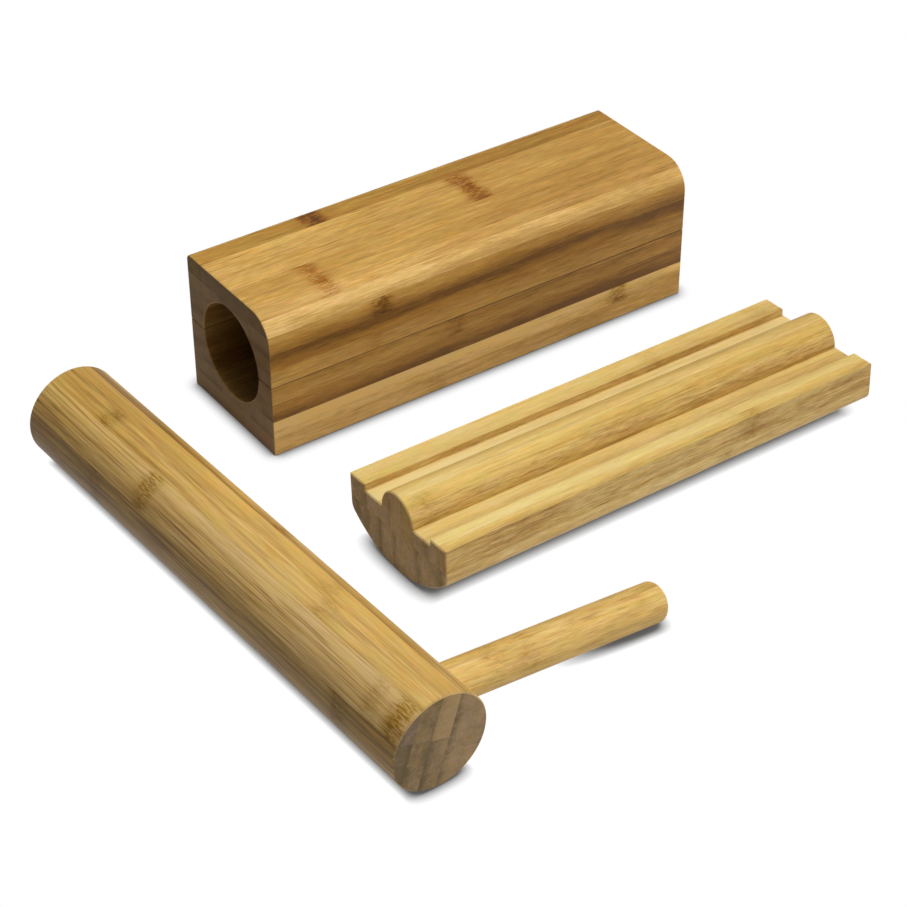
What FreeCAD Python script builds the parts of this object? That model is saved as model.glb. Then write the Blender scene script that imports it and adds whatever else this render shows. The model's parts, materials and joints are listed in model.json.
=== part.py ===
import FreeCAD, Part
import math
import os

# Mould set for thick sushi rolls, in laminated bamboo. Millimetres.
# Four tools lie side by side on a table: a closed mould in two halves, a shaper and a plunger
# with its handle. Each is glued up from strips of bamboo and then machined, so it is made here
# as one body first and sawn into its strips afterwards. The frame's origin is the centre of the
# mould's base, +X runs along the bore and +Z is up. The front is -Y.

Vector, Placement, Rotation = FreeCAD.Vector, FreeCAD.Placement, FreeCAD.Rotation
AXIS_X, AXIS_Y, AXIS_Z = Vector(1, 0, 0), Vector(0, 1, 0), Vector(0, 0, 1)

# Mould: two halves that part on the axis of the bore
mould_length = 210.0  # the long side of a sheet of seaweed
mould_width = 63.0
bore_d = 42.4
lower_board = 8.2  # thickness of each of the lower half's boards
upper_board = 7.8  # thickness of each of the upper half's boards
front_round = 12.5  # radius of the long front edge on top
rear_round = 2.5  # radius of the long rear edge on top
edge_break = 0.6  # radius of all the mould's other outer edges
mouth_break = 0.6  # chamfer round the bore's two mouths
parting_break = 0.4  # chamfer on the outer edges where the halves meet

# Strips of the mould's boards, board by board and upwards: how many each has, and the widths of
# its front and rear ones. Those between them share the rest evenly.
wall_seam = 1.8  # from the side of the bore to the seam beside it in the lower wall board
halves = (mould_width / 2, mould_width / 2)
beside_bore = ((mould_width - bore_d) / 2 - wall_seam, (mould_width - bore_d) / 2 - wall_seam)
lower_count = {"base": 3, "floor": 3, "wall": 4, "rim": 2}
lower_outer = {"base": (24.5, 15.5), "floor": (17.5, 22.5), "wall": beside_bore, "rim": halves}
upper_count = {"rim": 2, "wall": 2, "roof": 3, "top": 4}
upper_outer = {"rim": halves, "wall": halves, "roof": (16.0, 24.0), "top": (5.5, 11.5)}

# Locating pegs between the halves, in the middle of the walls
peg_d = 5.0
peg_sunk = 12.0  # depth in the lower half, glued
peg_rise = 6.0  # height above the parting plane
peg_from_end = 20.0
peg_chamfer = 0.8
peg_clearance = 0.25  # radial, in the upper half
peg_end_gap = 0.8  # left above a peg's tip

glue_gap = 0.05  # radial, round every glued peg and dowel

# Shaper: a round-backed bar whose rims rest on an open half mould
shaper_board = 18.0  # thickness of each of its two boards
shaper_overhang = 0.5  # how far it stands out past each side of the mould
back_rise = 12.95  # how far its back bulges between its sides
back_corner = 5.0  # radius between its sides and its back
channel_depth = 2.8
channel_clearance = 0.6  # how far each rim stays back from the edge of the groove below it
ridge_radius = 10.5
shaper_break = 0.5
shaper_count = {"back": 9, "face": 8}  # upright strips, listed as the mould's are
shaper_outer = {"back": (3.5, 4.5), "face": (5.0, 11.0)}
shaper_away = 87.6  # from the mould's front to where its back touches the table
shaper_lean = 2.7  # degrees that it rolls back on its round back, front side up

# Plunger with its handle
plunger_clearance = 1.2  # radial, in the bore
plunger_break = 0.5  # chamfer round its two ends
handle_d = 16.0
handle_length = 125.5
handle_from_end = 24.3  # from the plunger's outer end to the handle's axis
handle_past_axis = 8.0  # how far the dowel goes in past the plunger's axis
handle_end_gap = 0.5  # left below the dowel's inner end
handle_tip_round = 2.5
handle_skew = 1.25  # degrees that the hole leans out towards the outer end
plunger_layer = 8.2  # thickness of each of its layers
layer_offset = -0.5  # of the middle layer, from the axis
layer_turn = 11.5  # degrees between the layers' normal and the handle
plunger_seams = (2.2, -7.5, 1.4, 3.0, -4.0)  # one seam in each layer, from the axis
plunger_beyond = 53.4  # from the mould's end to where the handle's axis crosses the plunger's
plunger_before = 168.5  # from the mould's front to the same crossing
plunger_turn = 2.58  # degrees that the plunger lies turned from straight across the mould

# Sizes that follow
bore_r = bore_d / 2
parting = lower_board * len(lower_count)
mould_height = parting + upper_board * len(upper_count)
half_length, half_width = mould_length / 2, mould_width / 2
shaper_half = half_width + shaper_overhang
back_radius = (shaper_half**2 + back_rise**2) / (2 * back_rise)
plunger_r = bore_r - plunger_clearance
handle_r = handle_d / 2
far = 2 * (mould_length + mould_width)  # longer than any piece

same_place = 1e-4  # millimetres within which two places are one
least_corner = 0.1  # radians that two faces turn where an edge is sharp


def edges_where(shape, test):
    """The shape's edges whose two ends both pass the test."""
    return [e for e in shape.Edges if all(test(v.Point) for v in e.Vertexes)]


def sharp_edges(shape):
    """The shape's edges where two faces meet at an angle."""

    def normal(face, point):
        return face.normalAt(*face.Surface.parameter(point))

    sharp = []
    for edge in shape.Edges:
        faces = shape.ancestorsOfType(edge, Part.Face)
        middle = edge.valueAt((edge.FirstParameter + edge.LastParameter) / 2)
        if len(faces) == 2 and normal(faces[0], middle).getAngle(normal(faces[1], middle)) > least_corner:
            sharp.append(edge)
    return sharp


def at(value, wanted):
    return abs(value - wanted) < same_place


def box_between(x, y, z):
    """A box from three pairs of limits."""
    return Part.makeBox(x[1] - x[0], y[1] - y[0], z[1] - z[0], Vector(x[0], y[0], z[0]))


def seam_places(half, count, outer):
    """The seams of a board that reaches half to both sides of its middle, from front to rear."""
    first, last = outer[0] - half, half - outer[1]
    steps = max(count - 2, 1)
    return [first + (last - first) * i / steps for i in range(count - 1)]


def saw(body, board_seams, strip_seams):
    """Cuts a body that lies along X into boards, at heights in Z, and each board into strips, at
    places in Y. Gives the strips board by board."""

    def stretches(cuts):
        limits = [-far, *cuts, far]
        return zip(limits, limits[1:])

    return [
        [body.common(box_between((-far, far), strip, board)) for strip in stretches(seams)]
        for board, seams in zip(stretches(board_seams), strip_seams)
    ]


def saw_boards(body, bottom, board, half, count, outer):
    """Saws a body into boards of one thickness, each with the strips that are listed for it."""
    board_seams = [bottom + board * i for i in range(1, len(count))]
    strip_seams = [seam_places(half, count[name], outer[name]) for name in count]
    return dict(zip(count, saw(body, board_seams, strip_seams)))


# ---- the mould


def bore_tool():
    """What the cutter takes away: the bore and the chamfers at its two mouths."""
    end, flare = half_length, bore_r + mouth_break
    outline = [
        Vector(-end, 0, 0),
        Vector(-end, 0, flare),
        Vector(-end + mouth_break, 0, bore_r),
        Vector(end - mouth_break, 0, bore_r),
        Vector(end, 0, flare),
        Vector(end, 0, 0),
    ]
    face = Part.Face(Part.makePolygon(outline + outline[:1]))
    tool = face.revolve(Vector(0, 0, 0), AXIS_X, 360)
    tool.translate(Vector(0, 0, parting))
    return tool


def peg_places():
    """The middle of the wall beside the bore, at both ends and on both sides."""
    x, y = half_length - peg_from_end, (half_width + bore_r) / 2
    return [Vector(i * x, j * y, parting) for i in (-1, 1) for j in (-1, 1)]


def mould_half(bottom, top, roundings, hole_r, hole_depth):
    """One half from its outer block. Roundings is a list of (y, z, radius) for its long edges.
    The holes for the pegs go from the parting plane into it, down if the depth is negative."""
    half = box_between((-half_length, half_length), (-half_width, half_width), (bottom, top))
    for y, z, radius in roundings:
        half = half.makeFillet(radius, edges_where(half, lambda p: at(p.y, y) and at(p.z, z)))
    outline = edges_where(half, lambda p: at(p.z, parting))
    outer = [e for e in sharp_edges(half) if not any(e.isSame(o) for o in outline)]
    half = half.makeFillet(edge_break, outer)
    half = half.makeChamfer(parting_break, edges_where(half, lambda p: at(p.z, parting)))
    half = half.cut(bore_tool())
    down_or_up = AXIS_Z * math.copysign(1, hole_depth)
    for place in peg_places():
        half = half.cut(Part.makeCylinder(hole_r, abs(hole_depth), place, down_or_up))
    return half


def lower_half():
    body = mould_half(0, parting, [], peg_d / 2 + glue_gap, -peg_sunk)
    return saw_boards(body, 0, lower_board, half_width, lower_count, lower_outer)


def upper_half():
    roundings = [(-half_width, mould_height, front_round), (half_width, mould_height, rear_round)]
    body = mould_half(parting, mould_height, roundings, peg_d / 2 + peg_clearance, peg_rise + peg_end_gap)
    return saw_boards(body, parting, upper_board, half_width, upper_count, upper_outer)


def locating_pegs():
    length = peg_sunk + peg_rise
    pegs = []
    for place in peg_places():
        peg = Part.makeCylinder(peg_d / 2, length, place - AXIS_Z * peg_sunk)
        tip = edges_where(peg, lambda p: at(p.z, parting + peg_rise))
        pegs.append(peg.makeChamfer(peg_chamfer, [e for e in tip if e.Closed]))
    return Part.makeCompound(pegs)


# ---- the shaper


def shaper_section():
    """Its outline across, with the lowest point of its back at the origin."""
    rim_inner = bore_r + channel_clearance
    ridge_top = len(shaper_count) * shaper_board
    floor = ridge_top - ridge_radius
    rim = floor + channel_depth
    outer = shaper_half

    def p(y, z):
        return Vector(-half_length, y, z)

    steps = [p(outer, back_rise), p(outer, rim), p(rim_inner, rim), p(rim_inner, floor)]
    steps.append(p(ridge_radius, floor))
    rear = Part.makePolygon(steps).Edges
    front = Part.makePolygon([Vector(v.x, -v.y, v.z) for v in steps]).Edges
    ridge = Part.Arc(p(ridge_radius, floor), p(0, ridge_top), p(-ridge_radius, floor)).toShape()
    back = Part.Arc(p(-outer, back_rise), p(0, 0), p(outer, back_rise)).toShape()
    return Part.Face(Part.Wire(Part.sortEdges(rear + front + [ridge, back])[0]))


def shaper():
    body = shaper_section().extrude(AXIS_X * mould_length)
    for side in (-shaper_half, shaper_half):
        body = body.makeFillet(back_corner, edges_where(body, lambda p: at(p.y, side) and at(p.z, back_rise)))
    for end in (-half_length, half_length):
        body = body.makeChamfer(shaper_break, edges_where(body, lambda p: at(p.x, end)))
    boards = saw_boards(body, 0, shaper_board, shaper_half, shaper_count, shaper_outer)
    spot = Vector(0, -half_width - shaper_away, back_radius)
    lean = Placement(spot, Rotation(AXIS_X, -shaper_lean))
    lie = lean.multiply(Placement(AXIS_Z * -back_radius, Rotation()))
    return {name: [placed(s, lie) for s in strips] for name, strips in boards.items()}


def placed(shape, placement):
    moved = shape.copy()
    moved.Placement = placement.multiply(moved.Placement)
    return moved


# ---- the plunger, along X with its handle's axis at x = 0, its layers flat and its outer end at -X


def along_handle(upright):
    """Tilts what stands on the plunger's axis into the line of the handle."""
    tilt = Rotation(AXIS_X, -layer_turn).multiply(Rotation(AXIS_Y, -handle_skew))
    return placed(upright, Placement(Vector(0, 0, 0), tilt))


def plunger():
    reach = mould_length + handle_r  # the handle meets the mould when the face is flush with its far end
    body = Part.makeCylinder(plunger_r, handle_from_end + reach, AXIS_X * -handle_from_end, AXIS_X)
    body = body.makeChamfer(plunger_break, [e for e in body.Edges if e.Closed])
    depth = handle_past_axis + handle_end_gap
    hole = Part.makeCylinder(handle_r + glue_gap, depth + 2 * plunger_r, AXIS_Z * -depth)
    body = body.cut(along_handle(hole))
    count = len(plunger_seams)
    between = [layer_offset + plunger_layer * (i - count / 2) for i in range(1, count)]
    layers = saw(body, between, [[seam] for seam in plunger_seams])
    lie = plunger_placement()
    return [[placed(s, lie) for s in strips] for strips in layers]


def handle():
    tip = handle_length - handle_past_axis
    dowel = Part.makeCylinder(handle_r, handle_length, AXIS_Z * -handle_past_axis)
    dowel = dowel.makeFillet(handle_tip_round, edges_where(dowel, lambda p: at(p.z, tip)))
    dowel = dowel.makeChamfer(edge_break, edges_where(dowel, lambda p: at(p.z, -handle_past_axis)))
    return placed(along_handle(dowel), plunger_placement())


def handle_dip():
    """The angle at which the handle's rounded tip touches the table while the plunger lies on it."""
    along = (handle_length - handle_past_axis - handle_tip_round) * math.cos(math.radians(handle_skew))
    across = handle_r - handle_tip_round
    rise = plunger_r - handle_tip_round
    return math.degrees(math.asin(rise / math.hypot(along, across)) - math.atan2(across, along))


def plunger_placement():
    """Rolls the plunger until its handle dips to the table in +X, and lays it where it lies."""
    roll = Placement(Vector(0, 0, 0), Rotation(AXIS_X, 90 + handle_dip() + layer_turn))
    spot = Vector(-half_length - plunger_beyond, -half_width - plunger_before, plunger_r)
    return Placement(spot, Rotation(AXIS_Z, 90 + plunger_turn)).multiply(roll)


# ---- nodes


def save(name, shape):
    shape.exportStep(f"parts/{name}.step")


def save_boards(tool, boards):
    for board, strips in boards.items():
        for number, strip in enumerate(strips, 1):
            save(f"{tool}_{board}_strip_{number}", strip)


os.makedirs("parts", exist_ok=True)
save_boards("lower", lower_half())
save_boards("upper", upper_half())
save("locating_pegs", locating_pegs())
save_boards("shaper", shaper())
for layer, layer_strips in enumerate(plunger(), 1):
    save_boards("plunger", {f"layer_{layer}": layer_strips})
save("plunger_handle", handle())
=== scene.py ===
import json
import math
import bmesh
import bpy
from mathutils import Euler, Matrix, Vector


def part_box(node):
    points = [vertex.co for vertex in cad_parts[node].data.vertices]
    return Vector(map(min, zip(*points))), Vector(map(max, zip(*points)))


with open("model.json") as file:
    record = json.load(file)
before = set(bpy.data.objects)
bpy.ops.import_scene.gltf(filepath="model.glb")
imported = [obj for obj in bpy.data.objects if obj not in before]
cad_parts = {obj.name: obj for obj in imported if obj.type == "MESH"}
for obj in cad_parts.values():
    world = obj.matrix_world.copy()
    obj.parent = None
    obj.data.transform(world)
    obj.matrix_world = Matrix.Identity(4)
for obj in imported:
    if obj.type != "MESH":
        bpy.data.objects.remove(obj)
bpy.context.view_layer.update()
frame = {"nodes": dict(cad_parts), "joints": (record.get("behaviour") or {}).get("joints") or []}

# A sushi mould set in laminated bamboo: the closed mould in its two halves, the shaper and the
# plunger with its handle. Every strip of bamboo is a piece, and gets a finish of its own.

mm = 0.001
print("frame loaded:", len(frame["nodes"]), "pieces")


# ways of writing a material

class Wire:
    # an output in a material, so that sums on it can be written as sums
    def __init__(self, material, socket):
        self.material = material
        self.socket = socket

    def math(self, operation, *others):
        values = dict(enumerate((self, *others)))
        return self.material.add("ShaderNodeMath", {"operation": operation}, values)

    def __add__(self, other):
        return self.math("ADD", other)

    __radd__ = __add__

    def __mul__(self, other):
        return self.math("MULTIPLY", other)

    __rmul__ = __mul__

    def __sub__(self, other):
        return self.math("SUBTRACT", other)

    def __rsub__(self, other):
        return self.material.add("ShaderNodeMath", {"operation": "SUBTRACT"}, {0: other, 1: self})

    def __truediv__(self, other):
        return self.math("DIVIDE", other)

    def __abs__(self):
        return self.math("ABSOLUTE")

    def over(self, other):
        return self.math("MAXIMUM", other)

    def under(self, other):
        return self.math("MINIMUM", other)


class Nodes:
    def __init__(self, tree):
        self.tree = tree

    # any node: its settings come first, then the values or wires of its sockets
    def add(self, kind, settings=None, values=None, output=0):
        node = self.tree.nodes.new(kind)
        for key, value in (settings or {}).items():
            if key == "stops":
                self.setStops(node.color_ramp, value)
            else:
                setattr(node, key, value)
        self.feed(node, values or {})
        return Wire(self, node.outputs[output])

    def feed(self, node, values):
        for key, value in values.items():
            if isinstance(value, Wire):
                self.tree.links.new(value.socket, node.inputs[key])
            else:
                node.inputs[key].default_value = value

    def setStops(self, ramp, stops):
        while len(ramp.elements) < len(stops):
            ramp.elements.new(1)
        for element, (position, colour) in zip(ramp.elements, stops):
            element.position = position
            element.color = (*colour, 1)

    def vector(self, operation, first, second):
        output = "Value" if operation == "DOT_PRODUCT" else "Vector"
        values = {0: first, 1: second}
        return self.add("ShaderNodeVectorMath", {"operation": operation}, values, output)

    def stretch(self, point, sizes):
        return self.vector("MULTIPLY", point, sizes)

    def noise(self, point, waves, detail=2.0, roughness=0.5, output=0):
        values = {"Vector": self.stretch(point, waves), "Scale": 1.0}
        values.update({"Detail": detail, "Roughness": roughness})
        return self.add("ShaderNodeTexNoise", None, values, output)

    # 0 below low, 1 above high, and smooth between
    def step(self, value, low, high):
        values = {0: value, 1: low, 2: high, 3: 0.0, 4: 1.0}
        return self.add("ShaderNodeMapRange", {"interpolation_type": "SMOOTHSTEP"}, values)

    def split(self, point):
        node = self.add("ShaderNodeSeparateXYZ", None, {0: point}).socket.node
        return [Wire(self, socket) for socket in node.outputs]

    def mix(self, factor, first, second, blend="MIX"):
        first, second = [c if isinstance(c, Wire) else (*c, 1) for c in (first, second)]
        settings = {"data_type": "RGBA", "blend_type": blend}
        return self.add("ShaderNodeMix", settings, {0: factor, 6: first, 7: second}, 2)

    def surface(self, kind, output):
        self.tree.links.new(output.socket, self.tree.nodes[kind].inputs["Surface"])


class Material(Nodes):
    def __init__(self, name):
        self.data = bpy.data.materials.new(name)
        self.data.use_nodes = True
        super().__init__(self.data.node_tree)
        self.shader = self.tree.nodes["Principled BSDF"]

    def finish(self, **values):
        self.feed(self.shader, {key.replace("_", " "): value for key, value in values.items()})


# how each tool lies: where its own middle line is and how it is turned, grain along its x

def lieOf(origin, turn):
    grain, side = [turn @ Vector(way) for way in ((1, 0, 0), (0, 1, 0))]
    return {"origin": Vector(origin), "turn": turn, "grain": grain, "side": side}


def turnBy(x, z):
    return Euler((math.radians(x), 0, math.radians(z))).to_matrix()


shaperLean = -2.7  # degrees that it is rolled back
shaperLow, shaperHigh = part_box("shaper_back_strip_5")
shaperMiddle = (shaperLow + shaperHigh) / 2

plungerLie = {
    "dip": 6.0,  # degrees, the handle down to the table
    "layers": 11.5,  # from the handle round to the layers
    "skew": 1.25,  # that the handle is out of square
    "behindEnd": 24.3 * mm,  # from the outer end in to the handle
}
stroke = next(Vector(j["axis"]) for j in frame["joints"] if j["name"] == "plunger_stroke")
plungerHeading = math.degrees(math.atan2(-stroke.y, -stroke.x))
plungerTurn = turnBy(90 + plungerLie["dip"] + plungerLie["layers"], plungerHeading)


def plungerAxis():
    # the middle of its outer end, then in along the stroke to where the handle crosses
    names = [n for n in frame["nodes"] if n.startswith("plunger_layer")]
    points = [v.co for n in names for v in frame["nodes"][n].data.vertices]
    flat = Vector((stroke.x, stroke.y, 0)).normalized()
    side = Vector((-flat.y, flat.x, 0))
    reach = max(p.dot(flat) for p in points)
    middle = (max(p.dot(side) for p in points) + min(p.dot(side) for p in points)) / 2
    height = max(p.z for p in points) / 2
    return flat * (reach - plungerLie["behindEnd"]) + side * middle + Vector((0, 0, height))


plungerOrigin = plungerAxis()
handleTurn = plungerTurn @ Matrix.Rotation(math.radians(-plungerLie["layers"]), 3, "X")
handleTurn = handleTurn @ Matrix.Rotation(math.radians(-90 - plungerLie["skew"]), 3, "Y")
lies = {
    "mould": lieOf((0, 0, 0), turnBy(0, 0)),
    "shaper": lieOf((0, shaperMiddle.y, 0), turnBy(shaperLean, 0)),
    "plunger": lieOf(plungerOrigin, plungerTurn),
    "handle": lieOf(plungerOrigin, handleTurn),
}


# bamboo

# tones from dark to light, for a tone from 0 to 1
tones = {
    "mould": [
        (0.0, (0.150, 0.061, 0.004)),
        (0.35, (0.345, 0.165, 0.026)),
        (0.7, (0.55, 0.312, 0.068)),
        (1.0, (0.82, 0.52, 0.16)),
    ],
    "shaper": [
        (0.0, (0.34, 0.17, 0.037)),
        (0.35, (0.53, 0.325, 0.085)),
        (0.7, (0.70, 0.485, 0.155)),
        (1.0, (0.81, 0.61, 0.23)),
    ],
    "plunger": [
        (0.0, (0.20, 0.095, 0.022)),
        (0.35, (0.41, 0.235, 0.060)),
        (0.7, (0.61, 0.38, 0.11)),
        (1.0, (0.74, 0.50, 0.165)),
    ],
    "handle": [
        (0.0, (0.26, 0.125, 0.03)),
        (0.35, (0.46, 0.265, 0.068)),
        (0.7, (0.64, 0.41, 0.12)),
        (1.0, (0.75, 0.53, 0.18)),
    ],
}

# how much a tool darkens along its grain: from where to where in mm, by how much, how much of that
# is given back at its near end, and how much of the pale cast goes with it
falls = {
    "mould": {"from": -105, "to": 105, "by": 0.17, "back": 0.45, "pale": 0.0},
    "shaper": {"from": -105, "to": 105, "by": 0.15, "back": 0.45, "pale": 0.0},
    "plunger": {"from": 90, "to": 215, "by": 0.21, "back": 0.05, "pale": 0.35},
    "handle": {"from": 20, "to": 110, "by": 0.0, "back": 0.0, "pale": 0.0},
}

# boards of each tool, from the bottom up
boards = {
    "lower": ["base", "floor", "wall", "rim"],
    "upper": ["rim", "wall", "roof", "top"],
    "shaper": ["back", "face"],
    "plunger": ["layer_1", "layer_2", "layer_3", "layer_4", "layer_5"],
}

# what sets one strip apart: its tone, how much it darkens to its upper side, or an upright strip to
# its left side, and its nodes as (millimetres from the tool's near end, strength). Some strips are
# paler than their tone or warmer, darken more along the grain, have stronger lines or more grain,
# have nodes of the redder cast, or more of the small flecks round them.
strips = {
    "lower_base_strip_1": {
        "tone": 0.81, "skin": 0.1, "nodes": [(80, 0.28)],
        "pale": 0.3, "warm": 0.75, "fall": 0.12,
    },
    "lower_base_strip_2": {"tone": 0.7, "skin": 0.2, "nodes": [(150, 0.56)]},
    "lower_base_strip_3": {"tone": 0.5, "skin": -0.2, "nodes": [(40, 0.74)]},
    "lower_floor_strip_1": {
        "tone": 1.0, "skin": -0.2, "nodes": [(175, 1.0)],
        "pale": 0.18, "fall": 0.12,
    },
    "lower_floor_strip_2": {"tone": 0.75, "skin": 0.2, "nodes": [(60, 0.46)]},
    "lower_floor_strip_3": {"tone": 0.7, "skin": -0.2, "nodes": [(110, 0.65)]},
    "lower_wall_strip_1": {"tone": 0.2, "skin": -0.28, "nodes": [(122, 0.31)], "warm": 0.4},
    "lower_wall_strip_2": {"tone": 0.5, "skin": 0.15, "nodes": []},
    "lower_wall_strip_3": {"tone": 0.5, "skin": -0.2, "nodes": [(170, 0.46)]},
    "lower_wall_strip_4": {"tone": 0.6, "skin": 0.2, "nodes": [(95, 0.65)]},
    "lower_rim_strip_1": {"tone": 0.47, "skin": 0.1, "nodes": [(89, 0.62)], "pale": 0.12},
    "lower_rim_strip_2": {"tone": 0.65, "skin": -0.2, "nodes": [(30, 0.56)]},
    "upper_rim_strip_1": {"tone": 0.52, "skin": 0.1, "nodes": [(49, 0.34)], "pale": 0.2},
    "upper_rim_strip_2": {"tone": 0.7, "skin": 0.2, "nodes": [(140, 0.56)]},
    "upper_wall_strip_1": {
        "tone": 0.28, "skin": 0.32, "nodes": [(190, 0.19)],
        "pale": -0.3, "warm": 0.3,
    },
    "upper_wall_strip_2": {"tone": 0.5, "skin": -0.2, "nodes": [(75, 0.65)]},
    "upper_roof_strip_1": {"tone": 0.43, "skin": -0.3, "nodes": [(53.5, 1.4)], "warm": 0.25},
    "upper_roof_strip_2": {"tone": 0.6, "skin": 0.2, "nodes": [(120, 0.56)]},
    "upper_roof_strip_3": {"tone": 0.75, "skin": -0.2, "nodes": [(160, 0.74)]},
    "upper_top_strip_1": {
        "tone": 0.8, "skin": -0.1, "nodes": [],
        "pale": 0.35, "warm": -0.3, "fall": -0.05,
    },
    "upper_top_strip_2": {
        "tone": 0.64, "skin": 0.0, "nodes": [(33.6, 0.8)],
        "mark": "red", "pale": -0.1, "warm": 0.12,
    },
    "upper_top_strip_3": {"tone": 0.69, "skin": 0.0, "nodes": [(124, 1.4)], "mark": "red"},
    "upper_top_strip_4": {
        "tone": 0.46, "skin": 0.0, "nodes": [(56, 2.5)],
        "mark": "red", "pale": -0.8,
    },
    "shaper_back_strip_1": {"tone": 0.6, "skin": 0.12, "nodes": [(134, 0.37)]},
    "shaper_back_strip_2": {"tone": 0.7, "skin": -0.2, "nodes": [(60, 0.43)]},
    "shaper_back_strip_3": {"tone": 0.55, "skin": 0.2, "nodes": [(150, 0.43)]},
    "shaper_back_strip_4": {"tone": 0.75, "skin": -0.2, "nodes": [(20, 0.43)]},
    "shaper_back_strip_5": {"tone": 0.65, "skin": 0.2, "nodes": [(100, 0.43)]},
    "shaper_back_strip_6": {"tone": 0.72, "skin": 0.2, "nodes": [(175, 0.43)]},
    "shaper_back_strip_7": {"tone": 0.6, "skin": -0.2, "nodes": [(45, 0.43)]},
    "shaper_back_strip_8": {"tone": 0.68, "skin": 0.2, "nodes": [(125, 0.43)]},
    "shaper_back_strip_9": {"tone": 0.6, "skin": -0.2, "nodes": [(80, 0.43)]},
    "shaper_face_strip_1": {
        "tone": 0.62, "skin": -0.24, "nodes": [(147.5, 0.43)],
        "pale": -0.12, "warm": 0.1, "grain": 1.2,
    },
    "shaper_face_strip_2": {
        "tone": 0.78, "skin": 0.2, "nodes": [(140, 0.15)],
        "pale": 0.1, "warm": -0.8,
    },
    "shaper_face_strip_3": {
        "tone": 0.62, "skin": -0.15, "nodes": [(120, 0.12)],
        "pale": 0.15, "warm": -0.2,
    },
    # painted shade: this strip is made darker and less pale, for the shade at the foot of the ridge
    "shaper_face_strip_4": {"tone": 0.52, "skin": -0.15, "nodes": [(8, 0.31)], "pale": -0.45},
    "shaper_face_strip_5": {"tone": 0.62, "skin": 0.1, "nodes": []},
    "shaper_face_strip_6": {"tone": 0.72, "skin": -0.1, "nodes": [(44, 0.12)]},
    # painted light: this strip is made lighter and paler against the shade in the rear channel
    "shaper_face_strip_7": {"tone": 0.95, "skin": 0.15, "nodes": [], "pale": 0.3, "warm": -0.5},
    "shaper_face_strip_8": {"tone": 0.68, "skin": -0.15, "nodes": [(142, 0.19), (199, 0.15)]},
    "plunger_layer_1_strip_1": {
        "tone": 0.38, "skin": 0.1, "nodes": [(32.8, 0.62), (192.8, 0.5)],
        "lined": 2.6, "grain": 1.4,
    },
    # painted sheen: this strip is made lighter and paler where a broad highlight runs along the
    # plunger
    "plunger_layer_1_strip_2": {
        "tone": 0.91, "skin": -0.25, "nodes": [(163.7, 0.85), (5.3, 0.85), (19, 0.3)],
        "pale": 0.48, "warm": 0.1, "lined": 2.4, "grain": 1.35,
    },
    "plunger_layer_2_strip_1": {"tone": 0.58, "skin": -0.2, "nodes": [(120, 0.56)]},
    "plunger_layer_2_strip_2": {
        "tone": 0.68, "skin": 0.05, "nodes": [(62, 0.36), (204.5, 0.55)],
        "pale": -0.12, "warm": 0.1, "grain": 1.05,
    },
    "plunger_layer_3_strip_1": {"tone": 0.55, "skin": -0.3, "nodes": [(150, 0.56)]},
    "plunger_layer_3_strip_2": {
        "tone": 0.6, "skin": -0.1, "nodes": [(69.5, 0.28)],
        "pale": -0.2, "warm": 0.1, "grain": 0.6,
    },
    "plunger_layer_4_strip_1": {"tone": 0.62, "skin": -0.2, "nodes": [(40, 0.56), (200, 0.56)]},
    "plunger_layer_4_strip_2": {"tone": 0.5, "skin": -0.35, "nodes": [(110, 0.56)]},
    "plunger_layer_5_strip_1": {"tone": 0.55, "skin": 0.1, "nodes": [(90, 0.65)]},
    "plunger_layer_5_strip_2": {"tone": 0.62, "skin": 0.1, "nodes": [(180, 0.65)]},
    "plunger_handle": {
        "tone": 0.64, "skin": 0.0, "nodes": [(52, 0.17), (38, 0.15)],
        "flecks": 0.35, "grain": 1.5,
    },
}
# millimetres from a tool's near end to where its own x is 0
nearEnds = {"mould": 105, "shaper": 105, "plunger": 24.3, "handle": 0}


def toolOf(node):
    if node == "plunger_handle":
        return "handle"
    head = node.split("_")[0]
    return "mould" if head in ("lower", "upper") else head


# where a strip lies in its own tool, in millimetres, and where it is glued to its neighbours
def seamsOf(node, lie):
    back = lie["turn"].transposed()
    points = [back @ (v.co - lie["origin"]) / mm for v in frame["nodes"][node].data.vertices]
    low = [min(p[axis] for p in points) for axis in (1, 2)]
    high = [max(p[axis] for p in points) for axis in (1, 2)]
    ends = [pick(p.x for p in points) for pick in (min, max)]
    own = {"y": (), "z": (), "low": low, "high": high, "ends": ends, "parting": None}
    if "_strip_" not in node:
        return own
    board, number = node.rsplit("_strip_", 1)
    head, name = board.split("_", 1)
    row, last = boards[head].index(name), len(boards[head]) - 1
    ownBoard = [n for n in frame["nodes"] if n.startswith(board + "_strip_")]
    own["y"] = [low[0]] * (int(number) > 1) + [high[0]] * (int(number) < len(ownBoard))
    own["z"] = [low[1]] * (row > 0) + [high[1]] * (row < last)
    own["parting"] = {"lower_rim": high[1], "upper_rim": low[1]}.get(board)
    return own


# Noises are given as waves to a millimetre along and across the grain, octaves and roughness, and
# steps as where a thing begins and where it is whole.

# waves of a tool's streaks and fibres, and how strong its fibres are
weaves = {
    "mould": {"streak": (0.045, 0.50, 0.50), "fibre": (0.16, 1.7, 1.7), "depth": 1.0},
    "shaper": {"streak": (0.045, 0.50, 0.50), "fibre": (0.16, 1.7, 1.7), "depth": 1.0},
    "plunger": {"streak": (0.030, 0.50, 0.50), "fibre": (0.03, 0.85, 0.85), "depth": 1.9},
    "handle": {"streak": (0.045, 0.50, 0.50), "fibre": (0.10, 1.0, 1.0), "depth": 1.2},
}

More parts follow.
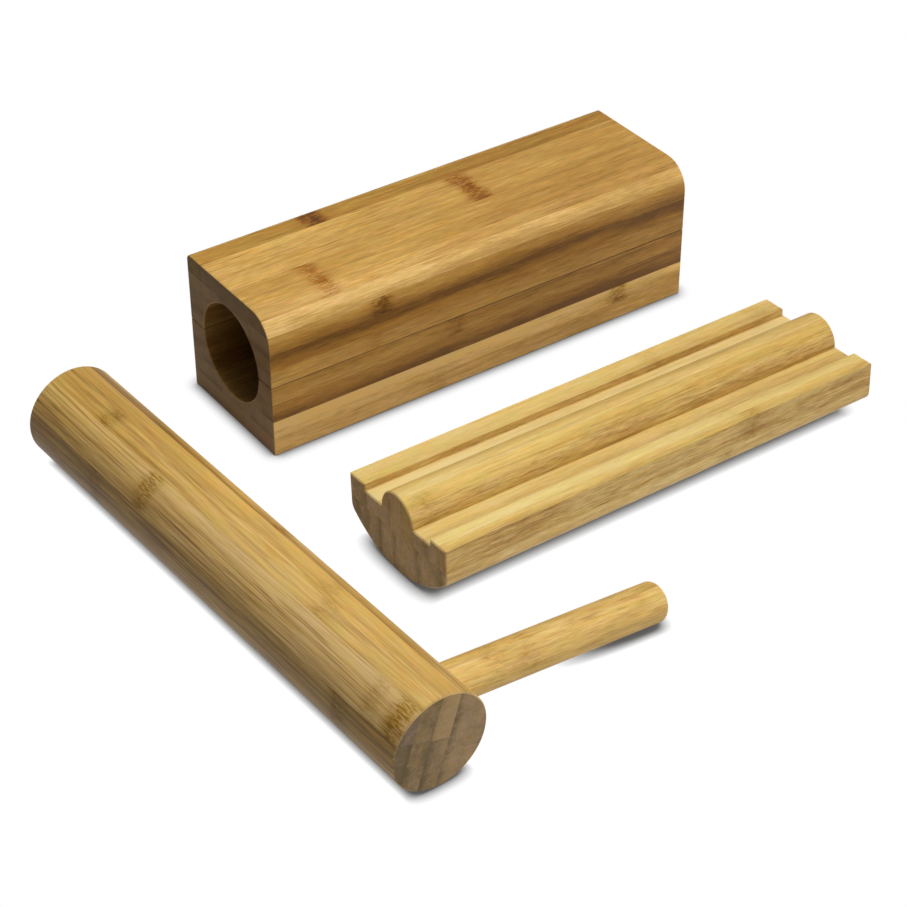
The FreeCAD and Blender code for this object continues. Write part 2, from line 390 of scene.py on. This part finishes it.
fibres = {
    "wander": ((0.012, 0.07, 0.07), 2.0),
    "sway": 1.0,  # mm that they wander to the sides
    "streakRough": (4.0, 0.66),
    "streakDepth": 0.62,  # how far apart the tones of the streaks are
    "fibreRough": (3.0, 0.68),
    "fibreDepth": 0.60,  # the same for the single fibres
    "lines": ((0.004, 0.85, 0.85), 1.0),  # the long thin lines
    "lineStep": (0.0, 0.05),
    "lineDepth": 0.17,
    "lined": ((0.025, 0.4, 0.4), 1.0),  # where there are lines
    "linedStep": (0.62, 0.82),
    "linedMore": 0.2,  # how much sooner for a strip's own "lined"
    "dashes": ((0.05, 2.2, 2.2), 1.0),  # bundles that show on a cut surface
    "dashStep": (0.56, 0.70),
    "slow": ((0.012, 0.08, 0.08), 1.0),  # the slow change along a stem
    "slowDepth": 0.3,
}


def fibreTone(m, point, look, weave, gain):
    # streaks, single fibres, long thin lines, the slow change and the dashes of cut bundles
    lined = look.get("lined", 1.0)
    wander = m.noise(point, *fibres["wander"], output="Color")
    wander = m.vector("SUBTRACT", wander, (0.5, 0.5, 0.5))
    sway = 2 * fibres["sway"]
    point = m.vector("ADD", point, m.stretch(wander, (0, sway, sway)))
    streak = m.noise(point, weave["streak"], *fibres["streakRough"]) - 0.5
    fibre = m.noise(point, weave["fibre"], *fibres["fibreRough"]) - 0.5
    level = abs(m.noise(point, *fibres["lines"]) - 0.5)
    linedStep = [edge - fibres["linedMore"] * lined for edge in fibres["linedStep"]]
    lines = m.step(m.noise(point, *fibres["lined"]), *linedStep)
    lines = (1 - m.step(level, *fibres["lineStep"])) * lines
    dash = m.step(m.noise(point, *fibres["dashes"]), *fibres["dashStep"])
    slow = m.noise(point, *fibres["slow"]) - 0.5
    tone = (streak * fibres["streakDepth"] + fibre * (fibres["fibreDepth"] * weave["depth"])) * gain
    tone = tone + slow * fibres["slowDepth"] - lines * (fibres["lineDepth"] * lined)
    return point, streak, fibre, dash, tone


nodeMarks = {
    "half": 4.8,  # mm, half a mark along the grain
    "fray": 9.0,  # mm that its ends run out along the fibres
    "frayed": ((0.02, 2.0, 2.0), 3.0, 0.7),
    "stray": 4.0,  # mm that the band strays from a straight one
    "bend": ((0.03, 0.13, 0.13), 1.0),
    "patches": ((0.13, 0.24, 0.24), 3.0, 0.6),
    "patchStep": (0.30, 0.68),
    "grain": ((0.35, 1.6, 1.6), 2.0, 0.6),
    "grainStep": (0.40, 0.62),
    "core": (0.10, 0.30, 0.75),  # its ground, its patches and its grain
    "coreStep": (0.3, 1.5),  # in half marks from the middle, as the next ones but the ridge's
    "tailStep": (0.8, 3.6),
    "tailFibres": (-0.15, 0.2),  # which fibres keep a tint past the mark
    "tail": 0.2,
    "ridgeAside": 1.3,  # mm from the middle to the dark ridge
    "ridgeStep": (0.2, 2.4),
    "ridge": (0.10, 0.25),  # its ground and its patches
    "flecks": ((0.30, 0.9, 0.9), 2.0, 0.6),
    "fleckStep": (0.56, 0.68),
    "fleckReach": (0.6, 1.8),
    "fleck": 0.16,
    "tints": {"red": (0.57, 0.33, 0.0), "brown": (0.48, 0.36, 0.05)},
    "deepFrom": 1.1,  # strength past which a mark darkens further
    "deepGain": 0.45,
    "deepest": 0.5,
}


def nodeMark(m, point, along, fibre, places, flecks):
    # a node: a straight band across the strip, with ends that fray along the fibres, patchy inside,
    # its dark ridge to one side, and fibres that stay tinted for a while past it
    frayed = m.noise(point, *nodeMarks["frayed"]) - 0.5
    bend = m.noise(point, *nodeMarks["bend"]) - 0.5
    patch = m.step(m.noise(point, *nodeMarks["patches"]), *nodeMarks["patchStep"])
    grain = m.step(m.noise(point, *nodeMarks["grain"]), *nodeMarks["grainStep"])
    fleck = m.step(m.noise(point, *nodeMarks["flecks"]), *nodeMarks["fleckStep"])
    plain, patchy, grainy = nodeMarks["core"]
    ridgePlain, ridgePatchy = nodeMarks["ridge"]
    mark = None
    for place, strength in places:
        away = along - place + frayed * nodeMarks["fray"] + bend * nodeMarks["stray"]
        side = abs(away) / nodeMarks["half"]
        core = 1 - m.step(side, *nodeMarks["coreStep"])
        core = core * (plain + patchy * patch + grainy * grain)
        ridge = 1 - m.step(abs(away - nodeMarks["ridgeAside"]), *nodeMarks["ridgeStep"])
        ridge = ridge * (ridgePlain + ridgePatchy * patch)
        tail = 1 - m.step(side, *nodeMarks["tailStep"])
        tail = tail * m.step(fibre, *nodeMarks["tailFibres"]) * nodeMarks["tail"]
        near = fleck * (1 - m.step(side, *nodeMarks["fleckReach"]))
        one = (core + ridge + tail) * strength + near * flecks
        mark = one if mark is None else mark.over(one)
    return mark


def markNodes(m, colour, mark, cast):
    tinted = m.mix(mark.under(1.0), (1, 1, 1), nodeMarks["tints"][cast])
    colour = m.mix(1.0, colour, tinted, "MULTIPLY")
    deep = ((mark - nodeMarks["deepFrom"]) * nodeMarks["deepGain"]).over(0.0)
    return m.mix(1.0, colour, 1 - deep.under(nodeMarks["deepest"]), "MULTIPLY")


endGrain = {
    "tones": {  # dark and light
        "mould": ((0.20, 0.135, 0.07), (0.42, 0.28, 0.15)),
        "shaper": ((0.34, 0.25, 0.14), (0.70, 0.54, 0.33)),
        "plunger": ((0.135, 0.095, 0.046), (0.40, 0.265, 0.135)),
        "handle": ((0.22, 0.145, 0.075), (0.48, 0.335, 0.185)),
    },
    "mottles": {"mould": 0.2, "shaper": 1.1, "plunger": 0.7, "handle": 0.4},
    # partly painted light: the mould's end is made lighter at its base and darker at its top, as
    # the light from the table below falls on it
    "paintedEndLight": {  # boards and strips whose end faces are lighter or darker than their tone
        "lower_base": 0.42,
        "upper_top": -0.3,
        "shaper_face_strip_4": 0.1,
        "shaper_face_strip_5": 0.12,
        "shaper_face_strip_8": -0.2,
        "shaper_back_strip_1": -0.18,
        "shaper_back_strip_2": -0.12,
        "shaper_back_strip_7": -0.18,
        "shaper_back_strip_8": -0.36,
        "shaper_back_strip_9": -0.42,
        "plunger_layer_1": -0.38,
        "plunger_layer_2": -0.22,
        "plunger_layer_3": -0.16,
        "plunger_layer_3_strip_2": 0.3,
    },
    "facing": (0.55, 0.9),  # how square to the grain a face has to be
    "level": 0.52,
    "toneShare": 0.25,  # how much of the strip's own tone shows
    "bundles": 1.7,  # bundles of fibres to a millimetre
    "bundleStep": (0.10, 0.45),
    "bundleDepth": 0.18,
    "rimStep": (0.5, 1.05),  # where through a strip its dense side is
    "rim": (0.25, 1.0),  # how much of it there is for any strip, and for the strip's "skin"
    "rimDepth": 0.6,
    "clouds": ((0.0, 0.15, 0.15), 3.0),
    "cloudDepth": 0.6,
    "scratches": ((0.0, 0.3, 3.0), 2.0),
    "scratchDepth": 0.35,
    "mottled": ((0.0, 0.45, 0.30), 3.0, 0.8),
    "seamDepth": 0.22,
    "roughness": 0.8,
    "relief": 0.8,
}


def endGrainColour(m, node, tool, point, depth):
    # dark bundles in a pale ground, which is darker at the dense side
    look = strips[node]
    inPlane = m.stretch(point, (0.0, 1, 1))
    dots = m.add("ShaderNodeTexVoronoi", None, {"Vector": inPlane, "Scale": endGrain["bundles"]})
    bundle = 1 - m.step(dots, *endGrain["bundleStep"])
    anyStrip, withSkin = endGrain["rim"]
    rim = m.step(depth, *endGrain["rimStep"]) * (anyStrip + withSkin * abs(look["skin"]))
    cloud = m.noise(point, *endGrain["clouds"]) - 0.5
    scratch = m.noise(point, *endGrain["scratches"]) - 0.5
    mottle = m.noise(point, *endGrain["mottled"]) - 0.5
    # painted light on the end faces, partly: lighter or darker board by board
    shade = sum(value for name, value in endGrain["paintedEndLight"].items() if node.startswith(name))
    ground = endGrain["level"] + endGrain["toneShare"] * look["tone"] + shade
    ground = ground + cloud * endGrain["cloudDepth"] + scratch * endGrain["scratchDepth"]
    ground = ground - rim * endGrain["rimDepth"] - bundle * endGrain["bundleDepth"]
    ground = ground + mottle * endGrain["mottles"][tool]
    return bundle, m.mix(m.step(ground, 0.0, 1.0), *endGrain["tones"][tool])


seamLines = {
    "seamWidth": 0.16,  # mm
    "seamDepth": {"mould": 0.22, "shaper": 0.12, "plunger": 0.18, "handle": 0.0},
    "partingWidth": 0.45,
    "partingDepth": 0.55,
    "lying": (0.8, 0.98),  # how level a face has to be to count as a parting face
}


def glueLine(m, across, up, seams):
    line = None
    for wire, places in ((across, seams["y"]), (up, seams["z"])):
        for place in places:
            one = 1 - m.step(abs(wire - place), 0.0, seamLines["seamWidth"])
            line = one if line is None else line.over(one)
    return line


def partingLine(m, colour, up, part, normal):
    # the open joint between the half moulds, dark on its outer edges but not on its faces
    lying = abs(m.vector("DOT_PRODUCT", normal, (0, 0, 1)))
    outer = 1 - m.step(lying, *seamLines["lying"])
    gap = (1 - m.step(abs(up - part), 0.0, seamLines["partingWidth"])) * outer
    return m.mix(1.0, colour, 1 - gap * seamLines["partingDepth"], "MULTIPLY")


# a painted highlight along the edges, pale where the light would catch the arrises
edgeHighlight = {
    "width": (0.2, 0.7),  # mm from the edges, where the painted highlight lies
    "streaks": (-0.2, 0.15),  # which streaks are
    "depth": 0.22,
    "colour": (0.84, 0.64, 0.34),
}

# the mould in millimetres, and its bore, whose wall gets painted shade: darker than the planed
# faces, and darker still deeper in from its mouths
mould = {
    "half": -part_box("lower_base_strip_1")[0].y / mm,
    "high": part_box("upper_top_strip_1")[1].z / mm,
    "axis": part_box("lower_rim_strip_1")[1].z / mm,
    "paintedBoreShade": (21.3, 21.55),  # round its axis, a little out from the wall itself
    "boreMouth": (0.0, 22.0),  # in from its mouths
    "boreShadeTints": ((0.66, 0.67, 0.74), (0.40, 0.43, 0.56)),  # painted shade at its mouths and deeper inside
}


# paints the highlight along the edges, broken by the streaks and kept off the end grain
def paintEdgeHighlight(m, colour, edge, streak, end):
    highlit = 1 - m.step(edge, *edgeHighlight["width"])
    highlit = highlit * m.step(streak, *edgeHighlight["streaks"]) * (1 - end)
    return m.mix(highlit * edgeHighlight["depth"], colour, edgeHighlight["colour"])


# painted shade on the bore's wall: darker than the planed faces, and darker deeper in, where less
# light reaches
def paintedBoreShade(m, colour, across, up, inward):
    rise = up - mould["axis"]
    reach = (across * across + rise * rise).math("SQRT")
    bored = 1 - m.step(reach, *mould["paintedBoreShade"])
    wall = m.mix(m.step(inward, *mould["boreMouth"]), *mould["boreShadeTints"])
    return m.mix(1.0, colour, m.mix(bored, (1, 1, 1), wall), "MULTIPLY")


bamboo = {
    "seedSteps": (61.7, 13.3, 7.9),  # mm that the noises of each strip are moved on
    "drift": ((0.016, 0.10, 0.10), 2.0),  # how the dense side comes and goes along a strip
    "driftDepth": 1.1,
    "streakDrift": 0.5,
    "skinStep": (0.2, 0.9),
    "skinMiddle": 0.4,  # where across a strip its tone is the one given
    "dashDepth": 0.10,
    "dashOuter": 0.6,  # how much of that there is away from the dense side
    "flank": (0.6, 0.9),  # how square a face is to an upright strip
    "flankGain": 0.9,  # how much more grain such a face shows
    "flankPale": 0.3,  # and how much paler it is
    "hues": ((0.07, 0.4, 0.4), 3.0, 0.6),
    "hueStep": (0.38, 0.62),
    "red": (1.05, 0.98, 0.74),
    "green": (0.965, 1.015, 0.80),
    "pales": ((0.06, 0.4, 0.4), 3.0, 0.6),
    "paleDepth": 1.4,  # how much the pale cast comes and goes
    "paleLevel": 0.32,  # how much of it there is all over
    "paleOwn": 0.66,  # how much a strip's own "pale" counts
    "pale": (1.02, 1.03, 1.45),
    "roughness": 0.5,
    "fibreRough": 0.3,  # how much rougher the light fibres are, and the dashes
    "dashRough": 0.08,
    "shine": 0.25,
    "bump": 0.3,
    "bumpHeight": 0.15 * mm,
    "fibreRelief": 1.4,  # how far the light fibres stand up and the dashes lie back
    "dashRelief": 0.6,
}


def bambooMaterial(node):
    tool = toolOf(node)
    lie, look, seams = lies[tool], strips[node], seamsOf(node, lies[tool])
    seed = 1 + sorted(strips).index(node)
    m = Material(node + "Bamboo")
    local = m.add(
        "ShaderNodeMapping",
        {"vector_type": "TEXTURE"},
        {
            "Vector": m.add("ShaderNodeTexCoord", output="Object"),
            "Location": lie["origin"],
            "Rotation": lie["turn"].to_euler(),
            "Scale": (mm, mm, mm),
        },
    )
    along, across, up = m.split(local)
    point = m.vector("ADD", local, [seed * step for step in bamboo["seedSteps"]])
    normal = m.add("ShaderNodeTexCoord", output="Normal")
    facing = abs(m.vector("DOT_PRODUCT", normal, lie["grain"]))
    end = m.step(facing, *endGrain["facing"])

    # the dense side of the strip is the one that was next to the skin of the stem
    upright = tool == "shaper"
    thick, axis = (across, 0) if upright else (up, 1)
    low, high = seams["low"][axis], seams["high"][axis]
    if look["skin"] < 0:
        low, high = high, low
    depth = (thick - low) / (high - low)
    drift = (m.noise(point, *bamboo["drift"]) - 0.5) * bamboo["driftDepth"]
    # the grain shows more on the upright flanks of an upright strip
    flank = m.step(abs(m.vector("DOT_PRODUCT", normal, lie["side"])), *bamboo["flank"])
    flank = flank * (1 if upright else 0)
    gain = (1 + flank * bamboo["flankGain"]) * look.get("grain", 1.0)
    point, streak, fibre, dash, tone = fibreTone(m, point, look, weaves[tool], gain)
    skin = m.step(depth + drift + streak * bamboo["streakDrift"], *bamboo["skinStep"])
    tone = tone + look["tone"] - (skin - bamboo["skinMiddle"]) * abs(look["skin"])
    tone = tone - dash * bamboo["dashDepth"] * (bamboo["dashOuter"] + skin)
    fall = m.step(along, falls[tool]["from"], falls[tool]["to"]) - falls[tool]["back"]
    tone = tone - fall * (falls[tool]["by"] + look.get("fall", 0.0))
    colour = m.add("ShaderNodeValToRGB", {"stops": tones[tool]}, {0: tone})
    hue = m.step(m.noise(point, *bamboo["hues"]), *bamboo["hueStep"]) + look.get("warm", 0.0)
    pale = (m.noise(point, *bamboo["pales"]) - 0.5) * bamboo["paleDepth"]
    pale = pale + bamboo["paleLevel"] + bamboo["paleOwn"] * look.get("pale", 0.0)
    pale = pale - fall * falls[tool]["pale"] + flank * bamboo["flankPale"]
    tint = m.mix(pale, m.mix(hue, bamboo["green"], bamboo["red"]), bamboo["pale"])

    if look["nodes"]:
        places = [(x - nearEnds[tool], strength) for x, strength in look["nodes"]]
        flecks = look.get("flecks", nodeMarks["fleck"])
        mark = nodeMark(m, point, along, fibre, places, flecks)
        colour = markNodes(m, colour, mark, look.get("mark", "brown"))
    bundle, endColour = endGrainColour(m, node, tool, point, depth)
    line = glueLine(m, across, up, seams)
    if line is not None:
        colour = m.mix(1.0, colour, 1 - line * seamLines["seamDepth"][tool], "MULTIPLY")
        endColour = m.mix(1.0, endColour, 1 - line * endGrain["seamDepth"], "MULTIPLY")
    if seams["parting"] is not None:
        colour = partingLine(m, colour, up, seams["parting"], normal)
    colour = m.mix(1.0, m.mix(end, colour, endColour), tint, "MULTIPLY")

    # painted highlight on the edges: pale round the ends, and along the mould's square edges
    near, far = seams["ends"]
    inward = (along - near).under(far - along)
    edge = inward
    if tool == "mould":
        edge = edge.under(mould["half"] - abs(across) + up.under(mould["high"] - up))
    colour = paintEdgeHighlight(m, colour, edge, streak, end)
    # painted shade inside the bore
    if tool == "mould":
        colour = paintedBoreShade(m, colour, across, up, inward)

    rough = bamboo["roughness"] + fibre * bamboo["fibreRough"] + dash * bamboo["dashRough"]
    rough = rough + end * (endGrain["roughness"] - bamboo["roughness"])
    relief = fibre * bamboo["fibreRelief"] - dash * bamboo["dashRelief"]
    relief = relief * (1 - end) - end * bundle * endGrain["relief"]
    height = {"Strength": bamboo["bump"], "Distance": bamboo["bumpHeight"], "Height": relief}
    bump = m.add("ShaderNodeBump", None, height)
    m.finish(Base_Color=colour, Roughness=rough, Normal=bump, Specular_IOR_Level=bamboo["shine"])
    return m.data


# the pegs: plain turned dowel, its noises in waves to a metre

peg = {
    "fine": ((1800, 1800, 60), 3.0, 0.6),
    "slow": ((120, 120, 20), 2.0),
    "shares": (0.6, 0.4),  # of the fine grain and the slow one in the tone
    "colours": ((0.47, 0.28, 0.13), (0.68, 0.46, 0.25)),
    "roughness": 0.5,
    "roughDepth": 0.2,
    "bump": 0.2,
    "bumpHeight": 0.1 * mm,
}


def pegMaterial():
    m = Material("pegDowel")
    place = m.add("ShaderNodeTexCoord", output="Object")
    fine, slow = m.noise(place, *peg["fine"]), m.noise(place, *peg["slow"])
    fineShare, slowShare = peg["shares"]
    colour = m.mix(fine * fineShare + slow * slowShare, *peg["colours"])
    height = {"Strength": peg["bump"], "Distance": peg["bumpHeight"], "Height": fine}
    bump = m.add("ShaderNodeBump", None, height)
    rough = peg["roughness"] + (fine - 0.5) * peg["roughDepth"]
    m.finish(Base_Color=colour, Roughness=rough, Normal=bump)
    return m.data


# shades the curved faces smoothly and keeps the corners sharp

smoothing = {"weld": 0.002 * mm, "corner": 30}  # the corner in degrees


def smoothSkin():
    group = bpy.data.node_groups.new("smoothSkin", "GeometryNodeTree")
    for way in ("INPUT", "OUTPUT"):
        group.interface.new_socket("Geometry", in_out=way, socket_type="NodeSocketGeometry")
    new, link = group.nodes.new, group.links.new
    start, end = new("NodeGroupInput"), new("NodeGroupOutput")
    weld = new("GeometryNodeMergeByDistance")
    weld.inputs["Distance"].default_value = smoothing["weld"]
    faces, edges = new("GeometryNodeSetShadeSmooth"), new("GeometryNodeSetShadeSmooth")
    faces.domain, edges.domain = "FACE", "EDGE"
    edges.inputs["Shade Smooth"].default_value = False
    angle, sharp = new("GeometryNodeInputMeshEdgeAngle"), new("FunctionNodeCompare")
    sharp.operation = "GREATER_THAN"
    sharp.inputs[1].default_value = math.radians(smoothing["corner"])
    link(start.outputs[0], weld.inputs["Geometry"])
    link(weld.outputs[0], faces.inputs["Geometry"])
    link(faces.outputs[0], edges.inputs["Geometry"])
    link(angle.outputs[0], sharp.inputs[0])
    link(sharp.outputs[0], edges.inputs["Selection"])
    link(edges.outputs[0], end.inputs[0])
    return group


skin = smoothSkin()
for node, piece in frame["nodes"].items():
    material = pegMaterial() if node == "locating_pegs" else bambooMaterial(node)
    piece.data.materials.clear()
    piece.data.materials.append(material)
    piece.modifiers.new("smoothSkin", "NODES").node_group = skin
print("bamboo laid on", len(frame["nodes"]), "pieces")


# the table, the light and the camera

table = {
    "half": 4,  # metres
    "colour": (0.52, 0.52, 0.52),
    "contactShadowColour": (0.10, 0.10, 0.10),  # painted contact shadow: the dark colour the camera sees where a piece stands on it
    "roughness": 0.9,
    "contacts": (0.0046, 0.0066),  # metres round a piece in which that shadow fades, least and most
    "plungerLeft": (0.118, 0.130),  # metres to the left where the plunger's part of it begins
    "plungerFront": (0.165, 0.180),  # and metres to the front
    "shaperFront": (0.05, 0.09),  # the same for the shaper's part
    "atMould": 0.62,  # how far from the least to the most the shadow goes round the mould
    "contactFrom": 0.38,  # how much of its sky a point right beside a wall still sees
    "deepest": 0.08,  # the least white that is left in that shadow
}


def makeFloor():
    shape = bmesh.new()
    bmesh.ops.create_grid(shape, x_segments=1, y_segments=1, size=table["half"])
    mesh = bpy.data.meshes.new("floor")
    shape.to_mesh(mesh)
    shape.free()
    floor = bpy.data.objects.new("floor", mesh)
    bpy.context.scene.collection.objects.link(floor)
    m = Material("paleFloor")
    # the camera and the gloss see white paper with painted contact shadows, the light meets a grey
    # table
    camera = m.add("ShaderNodeLightPath", output="Is Camera Ray")
    seen = camera.over(m.add("ShaderNodeLightPath", output="Is Glossy Ray"))
    shade = m.mix(seen, table["colour"], table["contactShadowColour"])
    m.finish(Base_Color=shade, Roughness=table["roughness"], Specular_IOR_Level=0.0)
    # the painted contact shadow reaches least round the plunger, most round the shaper
    right, back, _ = m.split(m.add("ShaderNodeTexCoord", output="Object"))
    left, front = right * -1, back * -1
    atPlunger = m.step(left, *table["plungerLeft"]).over(m.step(front, *table["plungerFront"]))
    atShaper = m.step(front, *table["shaperFront"])
    reach = (table["atMould"] + (1 - table["atMould"]) * atShaper) * (1 - atPlunger)
    narrow, wide = [
        m.add("ShaderNodeAmbientOcclusion", None, {"Distance": distance}, "AO")
        for distance in table["contacts"]
    ]
    room = narrow + (wide - narrow) * reach
    white = ((room - table["contactFrom"]) / (1 - table["contactFrom"])).over(table["deepest"])
    paper = m.add("ShaderNodeEmission", None, {"Color": (1, 1, 1, 1), "Strength": 1.0})
    both = {0: seen * white, 1: Wire(m, m.shader.outputs[0]), 2: paper}
    m.surface("Material Output", m.add("ShaderNodeMixShader", None, both))
    floor.data.materials.append(m.data)


sky = {
    "dark": 0.02,
    "light": 0.35,
    "from": (0.85, 0.0, 0.53),
    "spread": (-0.4, 1.0),  # from the dark side round to the light one
}


def makeWorld():
    world = bpy.data.worlds.new("studio")
    world.use_nodes = True
    m = Nodes(world.node_tree)
    heading = m.add("ShaderNodeTexCoord", output="Generated")
    toward = m.vector("DOT_PRODUCT", heading, Vector(sky["from"]).normalized())
    glow = sky["dark"] + m.step(toward, *sky["spread"]) * (sky["light"] - sky["dark"])
    light = m.add("ShaderNodeBackground", None, {"Color": (1, 1, 1, 1), "Strength": glow})
    white = m.add("ShaderNodeBackground", None, {"Color": (1, 1, 1, 1), "Strength": 1.0})
    seen = m.add("ShaderNodeLightPath", output="Is Camera Ray")
    m.surface("World Output", m.add("ShaderNodeMixShader", None, {0: seen, 1: light, 2: white}))
    bpy.context.scene.world = world


lamps = {  # the size is an angle in degrees
    "key": {"strength": 2.2, "from": (0.22, 0.10, 0.97), "size": 35},
    "fill": {"strength": 1.4, "from": (0.40, -0.83, 0.40), "size": 60},
}


def makeLamp(name, look):
    light = bpy.data.lights.new(name, "SUN")
    light.energy = look["strength"]
    light.angle = math.radians(look["size"])
    lamp = bpy.data.objects.new(name, light)
    lamp.rotation_euler = Vector(look["from"]).to_track_quat("Z", "Y").to_euler()
    bpy.context.scene.collection.objects.link(lamp)


view = {
    "place": (-0.4978, -0.7201, 0.5916),  # metres
    "heading": 55.084,  # degrees round from +x, then down and rolled
    "down": 36.795,
    "roll": -0.141,
    "lens": 96.97,
    "sensor": 36,
    "clips": (0.05, 20),
}


def makeCamera():
    data = bpy.data.cameras.new("view")
    data.lens = view["lens"]
    data.sensor_width = view["sensor"]
    data.clip_start, data.clip_end = view["clips"]
    camera = bpy.data.objects.new("view", data)
    turn = turnBy(90 - view["down"], view["heading"] - 90)
    turn = turn @ Matrix.Rotation(math.radians(view["roll"]), 3, "Z")
    camera.matrix_world = Matrix.Translation(view["place"]) @ turn.to_4x4()
    bpy.context.scene.collection.objects.link(camera)
    bpy.context.scene.camera = camera


makeFloor()
makeWorld()
for name, look in lamps.items():
    makeLamp(name, look)
makeCamera()
bpy.context.scene.view_settings.view_transform = "Standard"
print("studio ready")
